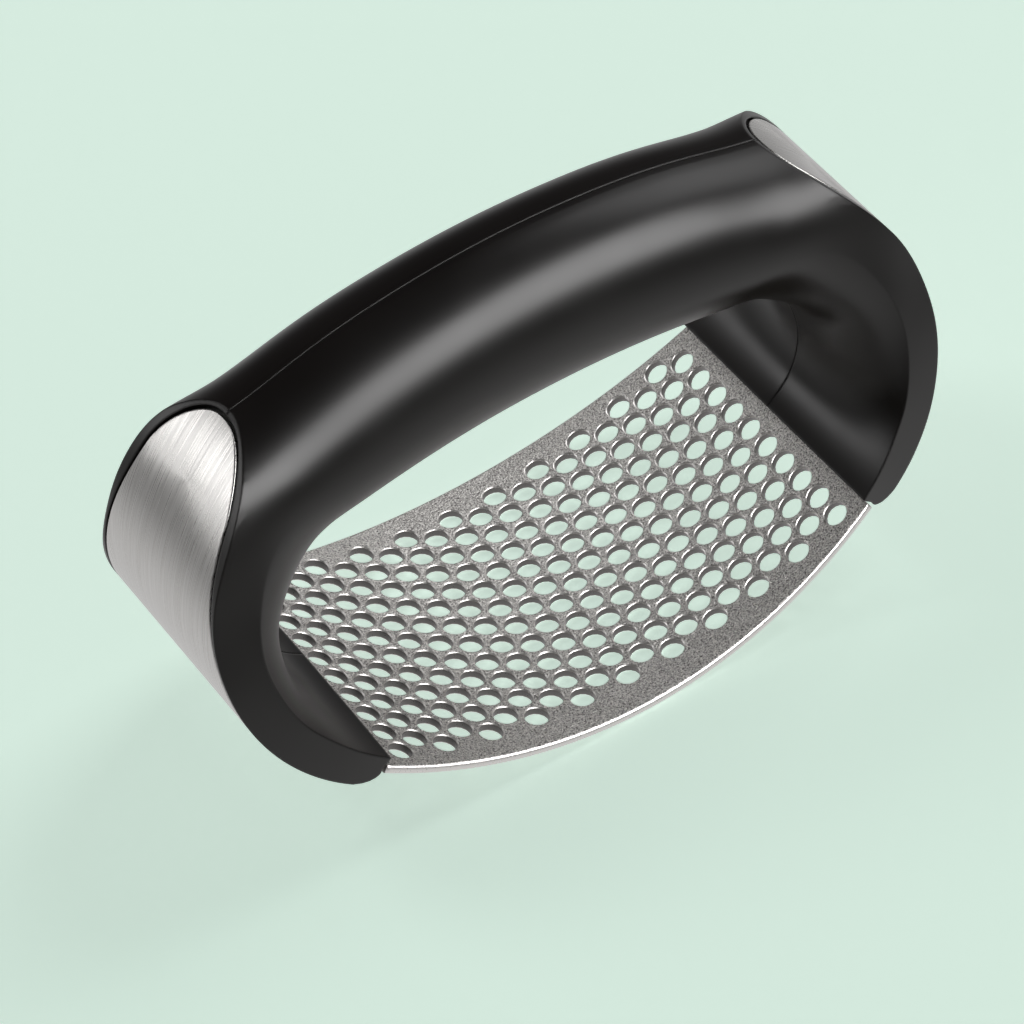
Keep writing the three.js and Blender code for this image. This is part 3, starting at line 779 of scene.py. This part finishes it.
def feed(node, inputs):
    """Gives each socket its value, or a link where the value is another node's output."""
    for name, value in inputs.items():
        if isinstance(value, bpy.types.NodeSocket):
            node.id_data.links.new(value, node.inputs[name])
        else:
            node.inputs[name].default_value = value


def add(tree, kind, inputs=None, **settings):
    """Adds a shader node with its settings, its values and its links."""
    node = tree.nodes.new("ShaderNode" + kind)
    for name, value in settings.items():
        setattr(node, name, value)
    feed(node, inputs or {})
    return node


def new_material(name):
    """A material, its node tree and its one shader."""
    material = bpy.data.materials.new(name)
    material.use_nodes = True
    tree = material.node_tree
    print("made", name)
    return material, tree, tree.nodes["Principled BSDF"]


def grain(tree, size_mm, stretch=(1, 1, 1), detail=2.0):
    """Noise on object coordinates with grains of a real size, stretched along an axis."""
    where = add(tree, "TexCoord").outputs["Object"]
    scale = [axis / (size_mm * MM) for axis in stretch]
    placed = add(tree, "Mapping", {"Vector": where, "Scale": scale}).outputs["Vector"]
    noise = add(tree, "TexNoise", {
        "Vector": placed, "Scale": 1.0, "Detail": detail, "Roughness": 0.55,
    })
    return noise.outputs["Fac"]


def spread(tree, noise, lowest, highest, middle_band=0.2):
    """Turns a noise into values between two limits, which it reaches a band from its middle."""
    return add(tree, "MapRange", {
        "Value": noise, "From Min": 0.5 - middle_band, "From Max": 0.5 + middle_band,
        "To Min": lowest, "To Max": highest,
    }).outputs["Result"]


def tint(tree, noise, dark, light, middle_band=0.2):
    """Mixes two colours by a noise."""
    share = spread(tree, noise, 0, 1, middle_band)
    mixed = {"Factor": share, "A": colour(dark), "B": colour(light)}
    return add(tree, "Mix", mixed, data_type="RGBA").outputs["Result"]


# %% [markdown]
# ### Blasted stainless steel
#
# The plate is stainless sheet, blasted with grit on both faces. The grit leaves small bright
# pits, so the face looks pale and grainy. The rims of the holes and the two long edges are
# painted brighter as a painted highlight, and the walls inside the holes are painted darker as
# painted shade. Painting the grain by hand would be slow, so the material finds the blasted
# faces itself: there the normal points along the radius of the rocker arc.

# %% Find the blasted faces
FULL_GRAIN = 0.97  # cosine between the normal and the radius, for about 14 degrees
NO_GRAIN = 0.85  # and for about 32 degrees

plate_steel, tree, shader = new_material("blasted_stainless_steel")
where = add(tree, "TexCoord").outputs["Object"]
normal = add(tree, "NewGeometry").outputs["Normal"]
from_centre = add(tree, "VectorMath", {0: where, 1: ROCKER_CENTRE * MM}, operation="SUBTRACT")
in_side_view = add(tree, "VectorMath", {
    0: from_centre.outputs["Vector"], 1: (1, 0, 1),
}, operation="MULTIPLY")
radius = add(tree, "VectorMath", {0: in_side_view.outputs["Vector"]}, operation="NORMALIZE")
along_radius = add(tree, "VectorMath", {
    0: radius.outputs["Vector"], 1: normal,
}, operation="DOT_PRODUCT")
# 1 on both faces of the sheet, and 0 on its edges and on the walls of the holes
faces_out = add(tree, "Math", {0: along_radius.outputs["Value"]}, operation="ABSOLUTE")
faces_out = faces_out.outputs["Value"]
blasted = add(tree, "MapRange", {
    "Value": faces_out, "From Min": NO_GRAIN, "From Max": FULL_GRAIN,
}).outputs["Result"]
print("grain ends", round(math.degrees(math.acos(NO_GRAIN))), "degrees off the radius")

# %% Find the rims and long edges that get a painted highlight
LONG_EDGE_FROM = 24.2  # the outermost holes end here
LONG_EDGE_FULL = 24.4

# painted shade and painted highlight: the walls inside the holes are painted darker, the rims and the
# two long edges brighter
rims = add(tree, "MapRange", {"Value": faces_out, "From Min": 0.15, "From Max": 0.4})
across = add(tree, "SeparateXYZ", {"Vector": where})
half_across = add(tree, "Math", {0: across.outputs["Y"]}, operation="ABSOLUTE")
long_edges = add(tree, "MapRange", {
    "Value": half_across.outputs["Value"],
    "From Min": LONG_EDGE_FROM * MM, "From Max": LONG_EDGE_FULL * MM,
})
highlighted = add(tree, "Math", {
    0: rims.outputs["Result"], 1: long_edges.outputs["Result"],
}, operation="MAXIMUM")
# the dark colour on the hole walls is painted shade, and the light one on the rims and long edges is
# a painted highlight
shade_and_highlight_steel = add(tree, "Mix", {
    "Factor": highlighted.outputs["Value"], "A": colour("6e6c6a"), "B": colour("e2dfdc"),
}, data_type="RGBA").outputs["Result"]
print("long edges polished beyond", LONG_EDGE_FROM, "mm from the middle")

# %% Steel of the plate
PIT_SIZE = 0.27  # a real pit is finer, and would not show
PIT_DEPTH = 0.2

# stainless steel, blasted with grit: a pale metal with a fine sparkle and no clear reflection
pits = grain(tree, PIT_SIZE)
pitted_steel = tint(tree, pits, "8d8a88", "ebe8e4", 0.14)
plate_colour = add(tree, "Mix", {
    "Factor": blasted, "A": shade_and_highlight_steel, "B": pitted_steel,
}, data_type="RGBA")
pitted = add(tree, "Bump", {"Strength": blasted, "Distance": PIT_DEPTH * MM, "Height": pits})
feed(shader, {
    "Metallic": 1.0,
    "Base Color": plate_colour.outputs["Result"],
    "Roughness": spread(tree, pits, 0.26, 0.42),
    "Normal": pitted.outputs["Normal"],
})
print("pits of", PIT_SIZE, "mm")

# %% [markdown]
# ### Brushed stainless steel
#
# The bands are stainless sheet, brushed up and down along their curve with a fine abrasive
# belt. The belt leaves long parallel strokes, which stretch every highlight at a right angle to
# them. A noise as fine as a stroke across the band, and very long the other way, gives streaks.

# %% Steel of the bands
STROKE_WIDTH = 0.22  # a real stroke is finer, and would not show
STROKE_LENGTHENING = 0.012  # the pattern's scale along a stroke, against 1 across it
SCRATCH_DEPTH = 0.02

# stainless steel, brushed: a soft streaky shine, brighter than the plate and without sparkle
band_steel, tree, shader = new_material("brushed_stainless_steel")
strokes = grain(tree, STROKE_WIDTH, (STROKE_LENGTHENING, 1, STROKE_LENGTHENING), detail=3)
scratched = add(tree, "Bump", {
    "Strength": 0.3, "Distance": SCRATCH_DEPTH * MM, "Height": strokes,
})
feed(shader, {
    "Metallic": 1.0,
    "Anisotropic": 0.55,
    "Base Color": tint(tree, strokes, "b9b7b4", "dddbd9"),
    "Roughness": spread(tree, strokes, 0.22, 0.42),
    "Normal": scratched.outputs["Normal"],
})
print("strokes of", STROKE_WIDTH, "mm")

# %% [markdown]
# ### Satin black plastic
#
# The shells are black ABS, moulded in a fine spark-eroded tool. That gives a deep black with a
# broad soft highlight instead of a mirror. The skin is far finer than it can be drawn, so the
# roughness does most of its work, and a bevel in the shader rounds the moulded corners.

# %% Plastic of the handle
SKIN_SIZE = 0.35
SKIN_DEPTH = 0.01
HANDLING_SIZE = 18  # the patches that hands have rubbed a little smoother
CORNER_ROUND = 0.5

# ABS, moulded in a fine textured tool: black, satin, with one wide highlight along the grip
handle_plastic, tree, shader = new_material("satin_black_plastic")
skin = grain(tree, SKIN_SIZE)
handling = grain(tree, HANDLING_SIZE)
softened = add(tree, "Bevel", {"Radius": CORNER_ROUND * MM}, samples=6)
moulded = add(tree, "Bump", {
    "Strength": 0.12, "Distance": SKIN_DEPTH * MM, "Height": skin,
    "Normal": softened.outputs["Normal"],
})
feed(shader, {
    "Metallic": 0.0,
    "IOR": 1.46,
    "Base Color": tint(tree, handling, "17110f", "1b1513"),
    "Roughness": spread(tree, handling, 0.29, 0.35),
    "Normal": moulded.outputs["Normal"],
})
print("corners rounded by", CORNER_ROUND, "mm")

# %% [markdown]
# ### The hidden fittings
#
# Tie plates and screws are zinc-plated steel, and a thin grey film bonds each band. The frame's
# own meshes are good enough inside the handle, so they only get a finish.

# %% Zinc plate and bonding film
SPANGLE_SIZE = 1.4
WEAVE_SIZE = 0.5

# steel with bright zinc plating: a cool, slightly cloudy metal
zinc, tree, shader = new_material("bright_zinc_plate")
spangle = grain(tree, SPANGLE_SIZE)
feed(shader, {
    "Metallic": 1.0,
    "Base Color": tint(tree, spangle, "9da1a4", "b9bdbf"),
    "Roughness": spread(tree, spangle, 0.34, 0.5),
})
# woven tape with adhesive on both faces: matt and grey
film, tree, shader = new_material("grey_bonding_film")
weave = grain(tree, WEAVE_SIZE)
feed(shader, {"Base Color": tint(tree, weave, "62625f", "787875"), "Roughness": 0.8})
for name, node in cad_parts.items():
    node.data.materials.clear()
    if "pad" in name:
        node.data.materials.append(film)
    elif "tie" in name:
        node.data.materials.append(zinc)
    else:
        node.data.materials.append(handle_plastic)  # the dowels; the rest is replaced below
print("fittings:", len(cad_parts), "frame pieces have a finish")

# %% [markdown]
# ## Onto the frame
#
# A finished piece stands in for a piece of the frame and rides on the body that the frame
# piece belongs to.

# %% Put the pieces on the frame
for piece, node, finish, slot in (
    (plate, "press_plate", plate_steel, "satin_steel"),
    (front_shell, "front_shell", handle_plastic, "black_plastic"),
    (rear_shell, "rear_shell", handle_plastic, "black_plastic"),
    (right_band, "right_end_band", band_steel, "brushed_steel"),
    (left_band, "left_end_band", band_steel, "brushed_steel"),
):
    piece.data.materials.clear()
    piece.data.materials.append(finish)
    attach(piece, "root")
    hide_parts(node)
    print(piece.name, "stands for", node)

# %% [markdown]
# ## The table
#
# The press stands on a pale green table that runs on as the backdrop. The paint glows by
# itself, which keeps the backdrop even and leaves the shadows soft and shallow.

# %% Table
TABLE_HALF = 3000
FIBRE_SIZE = 2.0

bm = bmesh.new()
bmesh.ops.create_grid(bm, x_segments=1, y_segments=1, size=TABLE_HALF)
table = solid("table", bm)
table.data.transform(Matrix.Scale(MM, 4))
# matt paint on board: flat and pale, with almost no shine
table_paint, tree, shader = new_material("pale_mint_table")
paint = tint(tree, grain(tree, FIBRE_SIZE), "d6ebdf", "d7ece0")
feed(shader, {
    "Base Color": paint,
    "Roughness": 0.9,
    "Specular IOR Level": 0.1,
    "Emission Color": paint,
    "Emission Strength": 0.7,
})
table.data.materials.append(table_paint)
table.visible_glossy = False  # the press mirrors the neutral room, not the green paint
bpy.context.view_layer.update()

# %% [markdown]
# ## The lights
#
# Two softboxes light the table and the press: the key stands high to the right, and the fill
# behind to the left, so there are two soft shadows. Three more are seen only as reflections:
# one behind to the left draws a thin line along the handle, a long strip in front draws the
# highlight along the grip, and a wide panel behind whitens the plate alone.


# %% Lights
def softbox(name, place, width, depth, watts):
    """A rectangular light that looks at the middle of the press, all in metres."""
    lamp = bpy.data.lights.new(name, "AREA")
    lamp.shape = "RECTANGLE"
    lamp.size = width
    lamp.size_y = depth
    lamp.energy = watts
    light = bpy.data.objects.new(name, lamp)
    light.location = place
    towards = Vector((0, 0, 0.03)) - Vector(place)
    light.rotation_euler = towards.to_track_quat("-Z", "Y").to_euler()
    bpy.context.scene.collection.objects.link(light)
    return light


softbox("key", (1.65, 0.45, 1.7), 1.3, 1.3, 13)
fill = softbox("fill", (-0.9, 1.4, 1.7), 0.8, 0.8, 6)
fill.visible_glossy = False  # it only gives the second shadow
back = softbox("back", (-1.75, 1.54, 0.62), 1.0, 0.7, 6)
strip = softbox("strip", (0.42, -1.15, 1.05), 1.8, 0.95, 43)
panel = softbox("panel", (0.2, 1.3, 1.35), 4.0, 1.7, 14)
for gleam in (back, strip, panel):
    gleam.visible_diffuse = False
lit_by_panel = bpy.data.collections.new("lit_by_panel")
lit_by_panel.objects.link(plate)
panel.light_linking.receiver_collection = lit_by_panel  # the grip's ridge stays black

# %% [markdown]
# ### The room
#
# Metal shows its surroundings, so the room needs a floor, a horizon and a ceiling. A colour
# ramp over the height of each direction gives them in greys: a light floor that fades to a
# dark horizon and a dim ceiling.

# %% Room
ROOM_GREYS = ((0, 0.8), (0.25, 0.7), (0.42, 0.34), (0.52, 0.06), (1, 0.06))

world = bpy.data.worlds.new("room")
world.use_nodes = True
tree = world.node_tree
direction = add(tree, "TexCoord").outputs["Generated"]
rise = add(tree, "SeparateXYZ", {"Vector": direction}).outputs["Z"]
half_up = add(tree, "MapRange", {"Value": rise, "From Min": -1.0, "From Max": 1.0})
heights = add(tree, "ValToRGB", {"Fac": half_up.outputs["Result"]})
ramp = heights.color_ramp.elements
ramp[0].position, ramp[1].position = 0, 1
for height, grey in ROOM_GREYS:
    stop = ramp[0] if height == 0 else ramp[-1] if height == 1 else ramp.new(height)
    stop.color = (grey, grey, grey, 1)
feed(tree.nodes["Background"], {"Color": heights.outputs["Color"], "Strength": 1.0})
bpy.context.scene.world = world
bpy.context.scene.view_settings.view_transform = "Standard"
print("room greys:", ROOM_GREYS)

# %% [markdown]
# ## The camera
#
# A long lens from far away keeps the press's lines almost parallel. The camera looks down at
# it from the front left, given by where it stands, the way it looks and which way is right.

# %% Camera
STANDPOINT = (-0.24267, -0.50776, 0.58250)
TO_THE_RIGHT = Vector((0.84185, -0.52660, -0.11824))
FORWARD = Vector((0.30074, 0.63962, -0.70742))

lens = bpy.data.cameras.new("camera")
lens.lens = 185.84
lens.sensor_width = 36
camera = bpy.data.objects.new("camera", lens)
bpy.context.scene.collection.objects.link(camera)
up = TO_THE_RIGHT.cross(FORWARD).normalized()
turned = Matrix((TO_THE_RIGHT, up, -FORWARD)).transposed()
camera.matrix_world = Matrix.Translation(STANDPOINT) @ turned.to_4x4()
bpy.context.scene.camera = camera
print("camera at", camera.location)
